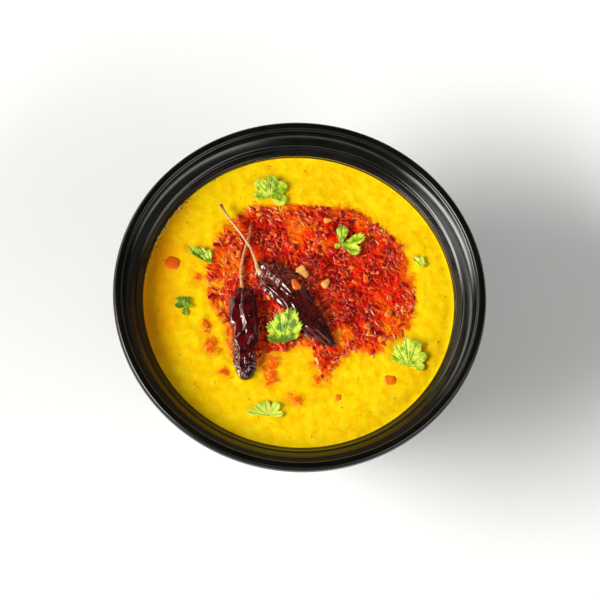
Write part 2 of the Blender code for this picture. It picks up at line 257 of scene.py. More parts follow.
def oil_richness(points):
    """How deep and dark the oil is, from 0 to 1, at points given in millimetres, with a painted pod
    shadow among its deep patches.
    """
    points = np.asarray(points, float)
    rich = np.zeros(len(points))
    for x, y, radius in DEEP_OIL_AND_POD_SHADOW:
        rich = np.maximum(rich, 1 - (distances(points, x, y) / radius) ** 2)
    return rich


def depth_reader(span):
    """A function for the oil's depth without its stains, read from a 1 mm grid of this half-width."""
    axis = np.arange(-span, span + 1)
    xs, ys = np.meshgrid(axis, axis, indexing="ij")
    table = oil_depth(np.stack([xs.ravel(), ys.ravel()], 1), ()).reshape(xs.shape).tolist()

    def depth_at(x, y):
        column, row = math.floor(x), math.floor(y)
        across, up = x - column, y - row
        left, right = table[column + span:column + span + 2]
        low, high = (left[k] * (1 - across) + right[k] * across for k in (row + span, row + span + 1))
        return low * (1 - up) + high * up

    return depth_at


spice_depth = depth_reader(72)


def dal_height(x, y):
    """The dal's surface: slow waves, the heap of spices, lentil lumps, and its climb up the wall."""
    reach = math.hypot(x, y)
    calm = max(0.0, 1 - (reach / DAL_RADIUS) ** 4)
    swell = 0.16 * MM * (math.cos(x / (8 * MM)) + math.cos(y / (7 * MM) + x / (19 * MM)))
    across = math.hypot(x - SPICE_CENTRE[0], y - SPICE_CENTRE[1]) / SPICE_RADIUS
    heap = 0.5 * MM * max(0.0, 1 - across * across)
    lumps = 0.34 * MM * noise.noise(Vector((x, y, 0)) / (4.2 * MM))
    spicy = min(1.0, max(0.0, 0.5 * spice_depth(x / MM, y / MM)))
    grain = (0.06 + 0.42 * spicy) * MM * noise.noise(Vector((x, y, 3 * MM)) / (1.5 * MM))
    climb = MENISCUS * math.exp(-(DAL_RADIUS + 0.6 * MM - reach) / (1.1 * MM))
    pods = 0.5 * MM * math.exp(-abs(pod_distance(x / MM, y / MM)))
    return DAL_LEVEL + calm * (swell + heap) + (0.35 + 0.65 * calm) * (lumps + grain) + climb + pods


# ---- making pieces

def add_object(name, data):
    item = bpy.data.objects.new(name, data)
    bpy.context.scene.collection.objects.link(item)
    return item


class Shape:
    """Vertices, faces and per-vertex values gathered for one joined mesh."""

    def __init__(self, *value_names):
        self.vertices = []
        self.faces = []
        self.materials = []
        self.values = {name: [] for name in value_names}

    def add(self, vertices, faces, material=0, **values):
        first = len(self.vertices)
        self.vertices += [tuple(v) for v in vertices]
        self.faces += [tuple(first + k for k in face) for face in faces]
        self.materials += [material] * len(faces)
        for name, store in self.values.items():
            given = values[name]
            store += list(given) if hasattr(given, "__len__") else [given] * len(vertices)

    def piece(self, name, materials, slot, *nodes):
        mesh = bpy.data.meshes.new(name)
        mesh.from_pydata(self.vertices, [], self.faces)
        mesh.polygons.foreach_set("material_index", self.materials)
        for value_name, store in self.values.items():
            attribute = mesh.attributes.new(value_name, "FLOAT", "POINT")
            attribute.data.foreach_set("value", store)
        mesh.shade_smooth()
        item = add_object(name, mesh)
        for material in materials:
            mesh.materials.append(material)
        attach(item, "root")
        if nodes:
            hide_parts(*nodes)


def ring_faces(rings, sides, closed=True):
    """Quads between rings of equally many points."""
    faces = []
    last = sides if closed else sides - 1
    for ring in range(rings - 1):
        for side in range(last):
            a = ring * sides + side
            b = ring * sides + (side + 1) % sides
            faces.append((a, b, b + sides, a + sides))
    return faces


def closed_faces(rings, sides, start=0):
    """The faces of rings closed by two tips: both after the rings, or the first one before them."""
    faces = [tuple(start + k for k in reversed(face)) for face in ring_faces(rings, sides)]
    first_tip = 0 if start else rings * sides
    end = start + (rings - 1) * sides
    for k in range(sides):
        following = (k + 1) % sides
        faces.append((first_tip, start + k, start + following))
        faces.append((rings * sides + 1, end + following, end + k))
    return faces


def lathe(profile, segments):
    """A closed solid turned from a profile whose two ends are on the axis."""
    rings = profile[1:-1]
    vertices = [(*around(r, turn), z) for r, z in rings for turn in circle(segments)]
    faces = closed_faces(len(rings), segments)
    return vertices + [(0, 0, profile[0][1]), (0, 0, profile[-1][1])], faces


def loft(stations, sides, shape):
    """A closed tube: stations are (centre, side, up, radius, distance along); shape scales it."""
    vertices = []
    for centre, side, up, radius, along in stations:
        for turn in circle(sides):
            reach = radius * shape(turn, along)
            vertices.append(centre + side * (reach * math.cos(turn)) + up * (reach * math.sin(turn)))
    faces = closed_faces(len(stations), sides)
    return vertices + [stations[0][0], stations[-1][0]], faces


# ---- materials

class Graph:
    """The nodes of a material or of the world, made in short calls."""

    def __init__(self, owner, coordinates):
        owner.use_nodes = True
        self.owner = owner
        self.tree = owner.node_tree
        self.place = self.node("TexCoord").outputs[coordinates]

    def node(self, kind, **settings):
        node = self.tree.nodes.new("ShaderNode" + kind)
        for name, value in settings.items():
            setattr(node, name, value)
        return node

    def put(self, socket, value):
        if isinstance(value, bpy.types.NodeSocket):
            self.tree.links.new(value, socket)
        elif socket.type == "RGBA":
            socket.default_value = (*value, 1.0)
        else:
            socket.default_value = value

    def fill(self, node, **inputs):
        """Sets or links a node's inputs; a _ in a name stands for a space."""
        for name, value in inputs.items():
            self.put(node.inputs[name.replace("_", " ")], value)
        return node

    def material(self, **inputs):
        """The finished material, with its shader's inputs filled."""
        self.fill(self.tree.nodes["Principled BSDF"], **inputs)
        return self.owner

    def noise(self, size, detail=2.0, roughness=0.5, distortion=0.0):
        """Noise with features of about this size in metres, as a value from 0 to 1."""
        node = self.fill(self.node("TexNoise"), Vector=self.place, Scale=1 / size,
                         Detail=detail, Roughness=roughness, Distortion=distortion)
        return node.outputs["Fac"]

    def cells(self, size):
        """Scattered cells: distance from each one's middle, and a random value for each."""
        node = self.fill(self.node("TexVoronoi"), Vector=self.place, Scale=1 / size)
        split = self.fill(self.node("SeparateColor"), Color=node.outputs["Color"])
        return node.outputs["Distance"], split.outputs["Red"]

    def along(self, axis):
        """The place's X, Y or Z."""
        return self.fill(self.node("SeparateXYZ"), Vector=self.place).outputs[axis]

    def value(self, name):
        """One of the mesh's own values."""
        return self.node("Attribute", attribute_name=name).outputs["Fac"]

    def math(self, operation, *inputs):
        node = self.node("Math", operation=operation)
        for socket, given in zip(node.inputs, inputs):
            self.put(socket, given)
        return node.outputs[0]

    def times(self, first, second):
        return self.math("MULTIPLY", first, second)

    def plus(self, first, second, share):
        """The first value, and this share of the second."""
        return self.math("ADD", first, self.times(second, share))

    def vector(self, operation, first, second=None):
        """A vector by ADD or SCALE, or a number by DOT_PRODUCT or LENGTH."""
        node = self.node("VectorMath", operation=operation)
        self.put(node.inputs[0], first)
        if second is not None:
            self.put(node.inputs["Scale" if operation == "SCALE" else 1], second)
        return node.outputs["Vector" if operation in ("ADD", "SCALE") else "Value"]

    def span(self, value, low, high, to_low=0.0, to_high=1.0):
        """The value from low to high, made a smooth step from to_low to to_high."""
        node = self.node("MapRange", interpolation_type="SMOOTHSTEP")
        self.fill(node, Value=value, From_Min=low, From_Max=high, To_Min=to_low, To_Max=to_high)
        return node.outputs["Result"]

    def ramp(self, value, *stops):
        node = self.fill(self.node("ValToRGB"), Fac=value)
        elements = node.color_ramp.elements
        while len(elements) < len(stops):
            elements.new(0.5)
        for element, (position, colour) in zip(elements, stops):
            element.position = position
            element.color = (*colour, 1.0)
        return node.outputs["Color"]

    def mix(self, share, first, second):
        """The first colour with this share of the second."""
        node = self.node("Mix", data_type="RGBA")
        for number, given in ((0, share), (6, first), (7, second)):
            self.put(node.inputs[number], given)
        return node.outputs[2]

    def tint(self, colour, value, low, high, share, other):
        """The colour turned to another, up to this share, as the value goes from low to high."""
        return self.mix(self.span(value, low, high, 0.0, share), colour, other)

    def bump(self, height, distance, strength):
        node = self.fill(self.node("Bump"), Height=height, Distance=distance, Strength=strength)
        return node.outputs["Normal"]


def new_graph(name):
    return Graph(bpy.data.materials.new(name), "Object")


def glaze_material():
    graph = new_graph("black_glaze")
    cloud = graph.noise(14 * MM, 3)
    fine = graph.noise(1.2 * MM, 2)
    colour = graph.ramp(cloud, (0.35, (0.0024, 0.0024, 0.0016)), (0.7, (0.0055, 0.0052, 0.0035)))
    bare = graph.span(graph.along("Z"), 0.7 * MM, 0.3 * MM)
    clay = graph.ramp(fine, (0.3, (0.16, 0.12, 0.085)), (0.7, (0.24, 0.19, 0.14)))
    rough = graph.plus(graph.span(cloud, 0.3, 0.7, 0.12, 0.16), bare, 0.6)
    return graph.material(
        Base_Color=graph.mix(bare, colour, clay), Roughness=rough, Specular_IOR_Level=0.27,
        Normal=graph.bump(graph.plus(fine, cloud, 3.0), 0.02 * MM, 0.25))


def soup_colour(graph):
    """Yellow lentils: paler and darker with the bumped lumps, partly painted light and shade; darker
    amber at the left, a painted shadow of the rim; a few dark dots.
    """
    broad = graph.noise(20 * MM, 3, 0.55)
    lumps = graph.noise(3.4 * MM, 3, 0.5)
    soup = graph.ramp(broad, (0.3, (0.94, 0.55, 0.0008)), (0.5, (0.96, 0.61, 0.0010)),
                      (0.72, (0.98, 0.67, 0.0012)))
    # Paler where the bump's lumps rise and darker where they sink: lentil mottling, partly painted light
    # and shade.
    soup = graph.tint(soup, lumps, 0.50, 0.66, 0.6, (1.0, 0.72, 0.010))
    soup = graph.tint(soup, lumps, 0.48, 0.34, 0.5, (0.88, 0.44, 0.0006))
    # Painted shadow of the left rim: the dal turns darker amber towards the left.
    rim_shadow_reach = graph.plus(graph.along("X"), broad, 16 * MM)
    soup = graph.tint(soup, rim_shadow_reach, -38 * MM, -58 * MM, 0.85, (0.82, 0.27, 0.0005))
    for size, limit, rarity, dark in ((2.6 * MM, 0.10, 0.72, (0.42, 0.24, 0.004)),
                                      (4.4 * MM, 0.07, 0.66, (0.25, 0.14, 0.006))):
        distance, chance = graph.cells(size)
        dot = graph.times(graph.span(distance, limit * 1.5, limit * 0.5),
                          graph.math("GREATER_THAN", chance, rarity))
        soup = graph.mix(graph.times(dot, 0.6), soup, dark)
    return soup, lumps


def oil_colour(graph, edge, jumble):
    """Red oil: darker where it is deep and in a painted pod shadow, mottled by the spices in it with
    painted shade in the bump's hollows and painted light on its crests, orange at its margin.
    """
    # The deep patches darken the oil; the one above the second chilli is a painted shadow of its pod.
    depth = graph.times(graph.math("SUBTRACT", graph.value("rich"), 0.25), 0.22)
    pool = graph.math("SUBTRACT", graph.noise(9 * MM, 4, 0.6, 0.8), depth)
    oil = graph.ramp(pool, (0.30, (0.30, 0.0012, 0.0004)), (0.43, (0.56, 0.003, 0.0004)),
                     (0.55, (0.80, 0.010, 0.0004)), (0.65, (0.90, 0.050, 0.0004)),
                     (0.76, (0.94, 0.24, 0.0004)))
    # Darker in the bump's hollows and oranger on its crests: spice mottling with painted shade and
    # painted light.
    oil = graph.tint(oil, jumble, 0.47, 0.34, 0.85, (0.13, 0.0008, 0.0004))
    oil = graph.tint(oil, jumble, 0.54, 0.67, 0.65, (0.97, 0.17, 0.002))
    return graph.mix(graph.span(edge, 0.4, 5.5), (0.90, 0.13, 0.001), oil)


def dal_material():
    """The soup, the red oil on it with its ragged edge, and the dark film along the wall with a painted
    highlight line at its outer edge.
    """
    graph = new_graph("dal_and_oil")
    fine = graph.noise(0.8 * MM, 3, 0.6)
    jumble = graph.noise(2.6 * MM, 5, 0.60, 1.6)
    soup, lumps = soup_colour(graph)
    ragged = graph.times(graph.math("SUBTRACT", graph.noise(5 * MM, 5, 0.66, 0.5), 0.5), 13.0)
    edge = graph.math("ADD", graph.value("oil"), ragged)
    oiled = graph.span(edge, -0.8, 1.8)
    colour = graph.tint(soup, edge, -3.4, 0.6, 0.85, (0.93, 0.33, 0.001))
    colour = graph.mix(oiled, colour, oil_colour(graph, edge, jumble))
    film = graph.value("film")
    colour = graph.tint(colour, film, 0.0, 0.35, 1.0, (0.045, 0.020, 0.002))
    # Painted highlight: the film's outer edge turns pale, standing in for the lamp's reflection on the
    # meniscus.
    colour = graph.tint(colour, film, 0.62, 0.80, 1.0, (0.50, 0.34, 0.08))
    rough = graph.math("SUBTRACT", graph.span(fine, 0.3, 0.7, 0.28, 0.40),
                       graph.times(graph.math("MAXIMUM", oiled, film), 0.20))
    relief = graph.plus(graph.plus(lumps, fine, 0.12), graph.times(jumble, oiled), 2.4)
    return graph.material(
        Base_Color=colour, Roughness=rough, Specular_IOR_Level=0.18, Subsurface_Weight=0.25,
        Subsurface_Radius=(1.0, 0.45, 0.03), Subsurface_Scale=1.2 * MM,
        Coat_Weight=graph.times(oiled, 0.55), Coat_Roughness=0.05,
        Normal=graph.bump(relief, 0.35 * MM, 0.7))


def spice_material(name, stops, roughness, coat):
    """A small fried thing: one tint for each piece of it, speckled, oily."""
    graph = new_graph(name)
    speckle = graph.noise(0.7 * MM, 3, 0.6)
    colour = graph.ramp(graph.value("tint"), *stops)
    colour = graph.tint(colour, speckle, 0.52, 0.32, 0.45, (0.16, 0.006, 0.002))
    return graph.material(
        Base_Color=colour, Roughness=graph.span(speckle, 0.3, 0.7, roughness, roughness + 0.12),
        Specular_IOR_Level=0.25, Coat_Weight=coat, Coat_Roughness=0.04, Subsurface_Weight=0.15,
        Subsurface_Radius=(1.0, 0.3, 0.1), Subsurface_Scale=0.6 * MM,
        Normal=graph.bump(speckle, 0.12 * MM, 0.6))


def pod_material(name, deep, warm, worn, worn_from, worn_to):
    """Dried, fried chilli skin: near black, redder in blotches, and worn past the given Ys."""
    graph = new_graph(name)
    blotch = graph.noise(4.5 * MM, 4, 0.6)
    fine = graph.noise(0.9 * MM, 4, 0.6)
    middle = tuple(0.4 * a + 0.6 * b for a, b in zip(deep, warm))
    colour = graph.ramp(blotch, (0.34, deep), (0.48, middle), (0.64, warm))
    end = graph.span(graph.along("Y"), worn_from, worn_to)
    wear = graph.times(graph.span(fine, 0.44, 0.62), graph.span(end, 0.0, 1.0, 0.10, 0.65))
    colour = graph.mix(wear, colour, worn)
    colour = graph.tint(colour, graph.value("crease"), 1.02, 1.16, 0.3, worn)
    wrinkles = graph.plus(graph.noise(2.0 * MM, 3), fine, 0.45)
    return graph.material(
        Base_Color=colour, Roughness=graph.plus(graph.span(fine, 0.3, 0.7, 0.10, 0.20), end, 0.12),
        Specular_IOR_Level=0.3, Coat_Weight=0.9, Coat_Roughness=0.02,
        Normal=graph.bump(wrinkles, 0.26 * MM, 0.7))


def stem_material():
    graph = new_graph("chilli_stem")
    grain = graph.noise(1.1 * MM, 3, 0.6)
    colour = graph.ramp(grain, (0.3, (0.34, 0.12, 0.05)), (0.55, (0.58, 0.31, 0.11)),
                        (0.8, (0.78, 0.52, 0.25)))
    colour = graph.tint(colour, graph.value("crease"), 0.86, 0.98, 1.0, (0.14, 0.04, 0.025))
    return graph.material(Base_Color=colour, Roughness=graph.span(grain, 0.3, 0.7, 0.32, 0.5),
                          Normal=graph.bump(grain, 0.15 * MM, 0.6))


def leaf_material():
    graph = new_graph("coriander_leaf")
    vein = graph.value("vein")
    cloud = graph.noise(2.6 * MM, 4, 0.6)
    fine = graph.noise(0.55 * MM, 2)
    shade = graph.math("ADD", graph.value("pale"), graph.span(cloud, 0.34, 0.64, -0.55, 0.42))
    shade = graph.math("ADD", shade, graph.span(fine, 0.3, 0.7, -0.12, 0.12))
    colour = graph.ramp(shade, (0.0, (0.09, 0.19, 0.002)), (0.30, (0.24, 0.38, 0.003)),
                        (0.62, (0.50, 0.64, 0.008)), (1.0, (0.74, 0.84, 0.08)))
    colour = graph.mix(graph.times(vein, 0.45), colour, (0.16, 0.30, 0.008))
    return graph.material(
        Base_Color=colour, Roughness=graph.span(fine, 0.3, 0.7, 0.34, 0.5), Subsurface_Weight=0.2,
        Subsurface_Radius=(0.5, 1.0, 0.1), Subsurface_Scale=0.4 * MM,
        Normal=graph.bump(graph.plus(fine, vein, -1.5), 0.2 * MM, 0.8))


def floor_material():
    graph = new_graph("pale_floor")
    haze = graph.noise(90 * MM, 2)
    colour = graph.ramp(haze, (0.3, (0.95, 0.95, 0.95)), (0.7, (0.98, 0.98, 0.98)))
    return graph.material(Base_Color=colour, Roughness=0.6)


# ---- bowl and dal

def inner_wall(count):
    floor_centre = (0.0, FLOOR_LEVEL)
    floor_pull = (0.70 * DAL_RADIUS, FLOOR_LEVEL)
    wall_pull = (0.95 * DAL_RADIUS, FLOOR_LEVEL + 0.36 * (DAL_LEVEL - FLOOR_LEVEL))
    return bezier(floor_centre, floor_pull, wall_pull, (DAL_RADIUS, DAL_LEVEL), count)


def foot_profile():
    """From the underside of the wall round the foot ring to the middle of the recess."""
    edge = 0.6 * MM
    ring = FOOT_RADIUS - FOOT_WIDTH
    return [
        (FOOT_RADIUS + 3.6 * MM, FOOT_HEIGHT + 1.1 * MM),
        (FOOT_RADIUS + 1.4 * MM, FOOT_HEIGHT - 0.2 * MM),
        (FOOT_RADIUS + 0.3 * MM, FOOT_HEIGHT - 1.8 * MM), (FOOT_RADIUS, 2 * edge), (FOOT_RADIUS, edge),
        (FOOT_RADIUS - 0.2 * MM, 0.15 * MM), (FOOT_RADIUS - edge, 0.0), (ring + edge, 0.0),
        (ring + 0.2 * MM, 0.15 * MM), (ring, edge), (ring - 0.5 * MM, FOOT_RECESS - 0.8 * MM),
        (ring - 1.4 * MM, FOOT_RECESS), (ring - 6 * MM, FOOT_RECESS), (0.0, FOOT_RECESS),
    ]


def bowl_profile():
    """The CAD bowl's section with its corners rounded."""
    top = BOWL_HEIGHT
    ledge = [(68.4, 8.85), (69.3, 7.50), (69.75, 6.86), (69.98, 6.62), (70.3, 6.40), (70.65, 6.15),
             (70.95, 5.90), (71.4, 5.42), (72.6, 4.12), (73.9, 2.85), (75.0, 2.05)]
    inside = [(radius * MM, top - drop * MM) for radius, drop in ledge]
    middle, level = RIM_RADIUS - LIP_HALF_WIDTH, top - LIP_HALF_WIDTH
    turns = [math.radians(angle) for angle in range(160, -1, -16)]
    lip = [(middle + LIP_HALF_WIDTH * math.cos(a), level + LIP_HALF_WIDTH * math.sin(a)) for a in turns]
    under = [(0.05, 3.6), (0.35, 4.5), (1.2, 5.15), (2.4, 5.9), (3.6, 7.0), (4.7, 8.8), (5.6, 10.8),
             (6.3, 12.8)]
    outside = [(RIM_RADIUS - inset * MM, top - drop * MM) for inset, drop in under]
    wall = offset_line(inner_wall(24), -WALL_THICKNESS)
    below = [point for point in wall if FOOT_RADIUS + 5 * MM < point[0] and point[1] < top - 16 * MM]
    return smooth_line(inner_wall(14) + inside + lip + outside + below[::-1] + foot_profile(), 3)


def make_bowl():
    shape = Shape()
    shape.add(*lathe(bowl_profile(), 288))
    shape.piece("glazed_bowl", [glaze_material()], "glaze", "bowl")


def make_dal():
    """The soup, as one closed solid whose top is a fine net of rings, closer towards the wall."""
    segments, top_rings = 400, 165
    gap = 0.06 * MM
    edge_radius = DAL_RADIUS + 0.45 * MM
    rings = [edge_radius * (1 - (1 - k / top_rings) ** 1.16) for k in range(1, top_rings + 1)]
    turns = circle(segments)
    flat = [(0.0, 0.0)] + [around(radius, turn) for radius in rings for turn in turns]
    vertices = [(x, y, dal_height(x, y)) for x, y in flat]
    below = offset_line(inner_wall(12), gap)[1:-1][::-1]
    for radius, height in below:
        vertices += [(*around(radius, turn), height) for turn in turns]
    vertices.append((0.0, 0.0, FLOOR_LEVEL + gap))
    faces = closed_faces(len(rings) + len(below), segments, 1)
    places = np.array(vertices)[:, :2] / MM
    reach = np.hypot(places[:, 0], places[:, 1])
    # The dark film and its painted highlight line are widened towards the upper right, where the lamp's
    # reflection shows.
    facing = np.cos(np.arctan2(places[:, 1], places[:, 0]) - math.radians(68))
    width = 0.55 + 0.75 * np.maximum(0, facing)
    film = np.clip((reach - (edge_radius / MM - width)) / width, 0, 1)
    shape = Shape("oil", "rich", "film")
    shape.add(vertices, faces, oil=oil_depth(places), rich=oil_richness(places), film=film)
    shape.piece("dal_soup", [dal_material()], "dal", "dal")


# ---- chillies

def horizontal_frame(points, k):
    """The direction of a line at one of its points, and the level direction across it."""
    along = (points[min(k + 1, len(points) - 1)] - points[max(k - 1, 0)]).normalized()
    side = along.cross(Vector((0, 0, 1))).normalized()
    return along, side


def rounded_ends(line):
    """The pod's line with each end closed by a few shrinking steps."""
    for end, inner in ((0, 1), (-1, -2)):
        x, y, radius = line[end]
        away = Vector((x - line[inner][0], y - line[inner][1])).normalized()
        cap = []
        for share in (0.35, 0.62, 0.82, 0.94, 1.0):
            step = radius * 0.8 * share
            narrow = radius * math.sqrt(1 - share * share) + 0.02
            cap.append((x + away.x * step, y + away.y * step, narrow))
        line = cap[::-1] + line if end == 0 else line + cap
    return line


def pod_shape(name):
    """How the dried skin has shrunk: sharp long ridges, cross folds, and a sunken top."""
    seed, fold_start, fold_end = FOLDS[name]

    def shape(turn, along):
        x, y = math.cos(turn), math.sin(turn)
        warp = 0.6 * noise.noise(Vector((x, y, along * 4 + seed)))
        long_ridges = 1 - ridged(1.25 * x + warp, 1.25 * y + warp, along * 2.0 + seed)
        fine_ridges = 1 - ridged(3.0 * x + warp, 3.0 * y - warp, along * 7.0 + seed)
        folds = 1 - ridged(0.9 * x, 0.9 * y, along * 13 + 2 * warp + seed)
        folded = max(0.0, min(1.0, 6 * (along - fold_start))) * max(0.0, min(1.0, 6 * (fold_end - along)))
        sunken = math.exp(-((turn - math.pi / 2 + 0.5 * warp) / 0.55) ** 2)
        sunken *= 0.5 + noise.noise(Vector((0, seed, along * 4)))
        relief = 0.30 * (long_ridges - RIDGE_MIDDLE) + 0.07 * (fine_ridges - RIDGE_MIDDLE)
        relief += (0.03 + 0.17 * folded) * (folds - RIDGE_MIDDLE)
        return 1.0 + relief - 0.16 * max(0.0, sunken)

    return shape


def make_chilli(name):
    line = rounded_ends(smooth_line(PODS[name], 14))
    height = DAL_LEVEL + POD_HEIGHT
    points = [Vector((x * MM, y * MM, height)) for x, y, _ in line]
    up = Vector((0, 0, POD_FLATNESS))
    stations = [(points[k], horizontal_frame(points, k)[1], up, radius * MM, k / (len(line) - 1))
                for k, (_, _, radius) in enumerate(line)]
    shape = pod_shape(name)
    sides = 120
    vertices, faces = loft(stations, sides, shape)
    crease = [shape(2 * math.pi * (k % sides) / sides, stations[k // sides][4])
              for k in range(len(vertices) - 2)] + [1.0, 1.0]
    piece = Shape("crease")
    piece.add(vertices, faces, crease=crease)
    add_stem(piece, STEMS[name])
    skin = pod_material(*SKINS[name])
    piece.piece(f"{name}_dried", [skin, STEM_MATERIAL], "chilli", name)


def add_stem(piece, line):
    """A thin ribbed stem that widens into a cap on the pod and is knobbed at its cut end."""
    fine = smooth_line(line, 10)
    points = [Vector((x * MM, y * MM, DAL_LEVEL + height * MM)) for x, y, height in fine]
    stations = []
    for k, point in enumerate(points):
        along, side = horizontal_frame(points, k)
        share = k / (len(points) - 1)
        cap = 2.2 * math.exp(-((share / 0.12) ** 1.3))
        knob = 0.4 * math.exp(-((1 - share) / 0.03))
        radius = STEM_RADIUS * (1.05 - 0.25 * share + cap + knob)
        stations.append((point, side, side.cross(along), radius, share))
    sides = 18
    vertices, faces = loft(stations, sides, lambda turn, along: 1 + 0.07 * math.sin(5 * turn + 9 * along))
    share = [stations[min(k // sides, len(stations) - 1)][4] for k in range(len(vertices))]
    piece.add(vertices, faces, material=1, crease=share)


# ---- leaves

def lobe_reach(angle, lobes):
    """How far the leaf reaches in one direction, and how near that is to a lobe's middle."""
    reach, nearness = 0.0, 0.0
    for direction, length, half_width in lobes:
        turn = (angle - direction + 180) % 360 - 180
        inside = 1 - (turn / half_width) ** 2
        if inside > 0:
            reach = max(reach, length * (0.45 + 0.55 * math.sqrt(inside)))
        nearness = max(nearness, math.exp(-((turn / 3.0) ** 2)))
    return reach, nearness


def pod_top(x, y):
    """The top of whichever pod lies under this point, in metres, or 0."""
    top = 0.0
    for line in FINE_PODS.values():
        for px, py, radius in line:
            across = math.hypot(x - px * MM, y - py * MM)
            if across < radius * MM:
                rise = POD_FLATNESS * math.sqrt((radius * MM) ** 2 - across ** 2)
                top = max(top, DAL_LEVEL + POD_HEIGHT + rise)
    return top


def leaf_blade(name, tooth_phase):
    """The leaf's upper side, round its stalk's end: rings of points, and their veins and paleness."""
    _, lobes, slope, rises_towards, cup, pale = LEAVES[name]
    start = min(direction - half for direction, _, half in lobes) + 2
    end = max(direction + half for direction, _, half in lobes) - 2
    closed = end - start > 300
    end = start + 360 if closed else end
    steps = int((end - start) / 1.4)
    columns = steps if closed else steps + 1
    heading = math.radians(rises_towards)
    tilt = Matrix.Rotation(math.radians(slope), 4, Vector((math.sin(heading), -math.cos(heading), 0)))
    longest = max(length for _, length, _ in lobes) * MM
    top, veins, pales = [], [], []
    for ring in range(1, LEAF_RINGS + 1):
        share = ring / LEAF_RINGS
        for step in range(columns):
            angle = start + (end - start) * step / steps
            reach, nearness = lobe_reach(angle, lobes)
            tooth = abs(((angle * 0.15 + tooth_phase) % 1) * 2 - 1)
            reach = max(reach, 1.4) * (1 - 0.15 * tooth ** 1.4 * share ** 3)
            turn = math.radians(angle)
            out = reach * MM * share
            relative = out / longest
            bend = cup * MM * relative ** 2
            bend += 0.35 * MM * relative * math.sin(3 * turn + tooth_phase)
            bend += 0.16 * MM * relative ** 2 * math.sin(9 * turn)
            bend -= 0.14 * MM * nearness * (1 - share)
            top.append(tilt @ Vector((*around(out, turn), bend)))
            side_vein = math.exp(-((tooth / 0.22) ** 2)) * share
            veins.append(min(1.0, nearness + 0.8 * side_vein))
            pales.append(pale + 0.22 * share ** 4 + 0.10 * (1 - tooth) * share)
    return top, veins, pales, columns, closed


def leaf_faces(columns, closed):
    """The faces of a leaf's upper side, of its underside, and of the edge between them."""
    count = LEAF_RINGS * columns
    grid = ring_faces(LEAF_RINGS, columns, closed)
    faces = [tuple(reversed(face)) for face in grid]
    faces += [tuple(k + count for k in face) for face in grid]
    hub_top, hub_low = 2 * count, 2 * count + 1
    outer = (LEAF_RINGS - 1) * columns
    for step in range(columns if closed else columns - 1):
        following = (step + 1) % columns
        faces.append((hub_top, step, following))
        faces.append((hub_low, count + following, count + step))
        faces.append((outer + step, count + outer + step, count + outer + following, outer + following))
    if not closed:
        for column, flip in ((0, False), (columns - 1, True)):
            chain = [hub_top] + [ring * columns + column for ring in range(LEAF_RINGS)]
            under = [hub_low] + [count + k for k in chain[1:]]
            for k in range(LEAF_RINGS):
                side = (chain[k], under[k], under[k + 1], chain[k + 1])
                faces.append(tuple(reversed(side)) if flip else side)
    return faces


def make_leaf(name, rng):
    """A leaf that rests on the highest thing under it, and no lower than its CAD solid."""
    stalk, pale = LEAVES[name][0], LEAVES[name][-1]
    top, veins, pales, columns, closed = leaf_blade(name, rng.uniform(0, 6))
    root = Vector((stalk[0] * MM, stalk[1] * MM, 0))
    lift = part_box(name)[0].z
    for point in top:
        x, y = root.x + point.x, root.y + point.y
        under = max(dal_height(x, y), pod_top(x, y))
        lift = max(lift, under + 0.12 * MM + LEAF_THICKNESS - point.z)
    base = root + Vector((0, 0, lift))
    down = Vector((0, 0, LEAF_THICKNESS))
    vertices = [base + p for p in top] + [base + p - down for p in top] + [base, base - down]
    piece = Shape("vein", "pale")
    piece.add(vertices, leaf_faces(columns, closed), vein=veins + veins + [1.0, 1.0],
              pale=pales + pales + [pale, pale])
    piece.piece(f"{name}_coriander", [LEAF_MATERIAL], "coriander", name)


# ---- spices and bits

def spindle(length, radius, bend, sides, rings):
    """A seed or shred along X, thickest in the middle, closed at both ends."""
    vertices = []
    for ring in range(rings):
        share = (ring + 0.5) / rings
        reach = radius * math.sin(math.pi * share) ** 0.55
        x = length * (share - 0.5)
        y = bend * math.sin(math.pi * share)
        for turn in circle(sides):
            vertices.append(Vector((x, y + reach * math.cos(turn), reach * math.sin(turn))))
    vertices += [Vector((-length / 2, 0, 0)), Vector((length / 2, 0, 0))]
    return vertices, [tuple(reversed(face)) for face in closed_faces(rings, sides)]


def flake(radius, thickness, rng):
    """An irregular curled plate."""
    count = 9
    phase = any_turn(rng)
    curl = rng.uniform(-0.25, 0.45) / radius
    rim = []
    for turn in circle(count):
        reach = radius * (0.72 + 0.28 * math.sin(2 * turn + phase) + rng.uniform(-0.15, 0.15))
        rim.append(around(reach, turn))
    vertices = [Vector((0, 0, thickness))]
    for share, height in ((0.62, thickness), (0.97, 0.7 * thickness), (1.0, 0.1 * thickness), (0.6, 0.0)):
        vertices += [Vector((x * share, y * share, height + curl * (x * share) ** 2)) for x, y in rim]
    vertices.append(Vector((0, 0, 0)))
    return vertices, closed_faces(4, count, 1)


def chunk(size, stretch, seed, sides, rings, squareness):
    """A small lump, uneven, and from round at squareness 0 to a cube's shape at 1."""
    vertices = [Vector((0, 0, 1))]
    for ring in range(1, rings):
        tip = math.pi * ring / rings
        for turn in circle(sides):
            vertices.append(Vector((*around(math.sin(tip), turn), math.cos(tip))))
    vertices.append(Vector((0, 0, -1)))
    shaped = []
    for v in vertices:
        squared = v / max(abs(v.x), abs(v.y), abs(v.z)) ** squareness
        squared *= 1 + 0.22 * noise.noise(v * 1.3 + Vector((seed, 0, 0)))
        shaped.append(Vector([share * along for share, along in zip(stretch, squared)]) * size)
    return shaped, closed_faces(rings - 1, sides, 1)


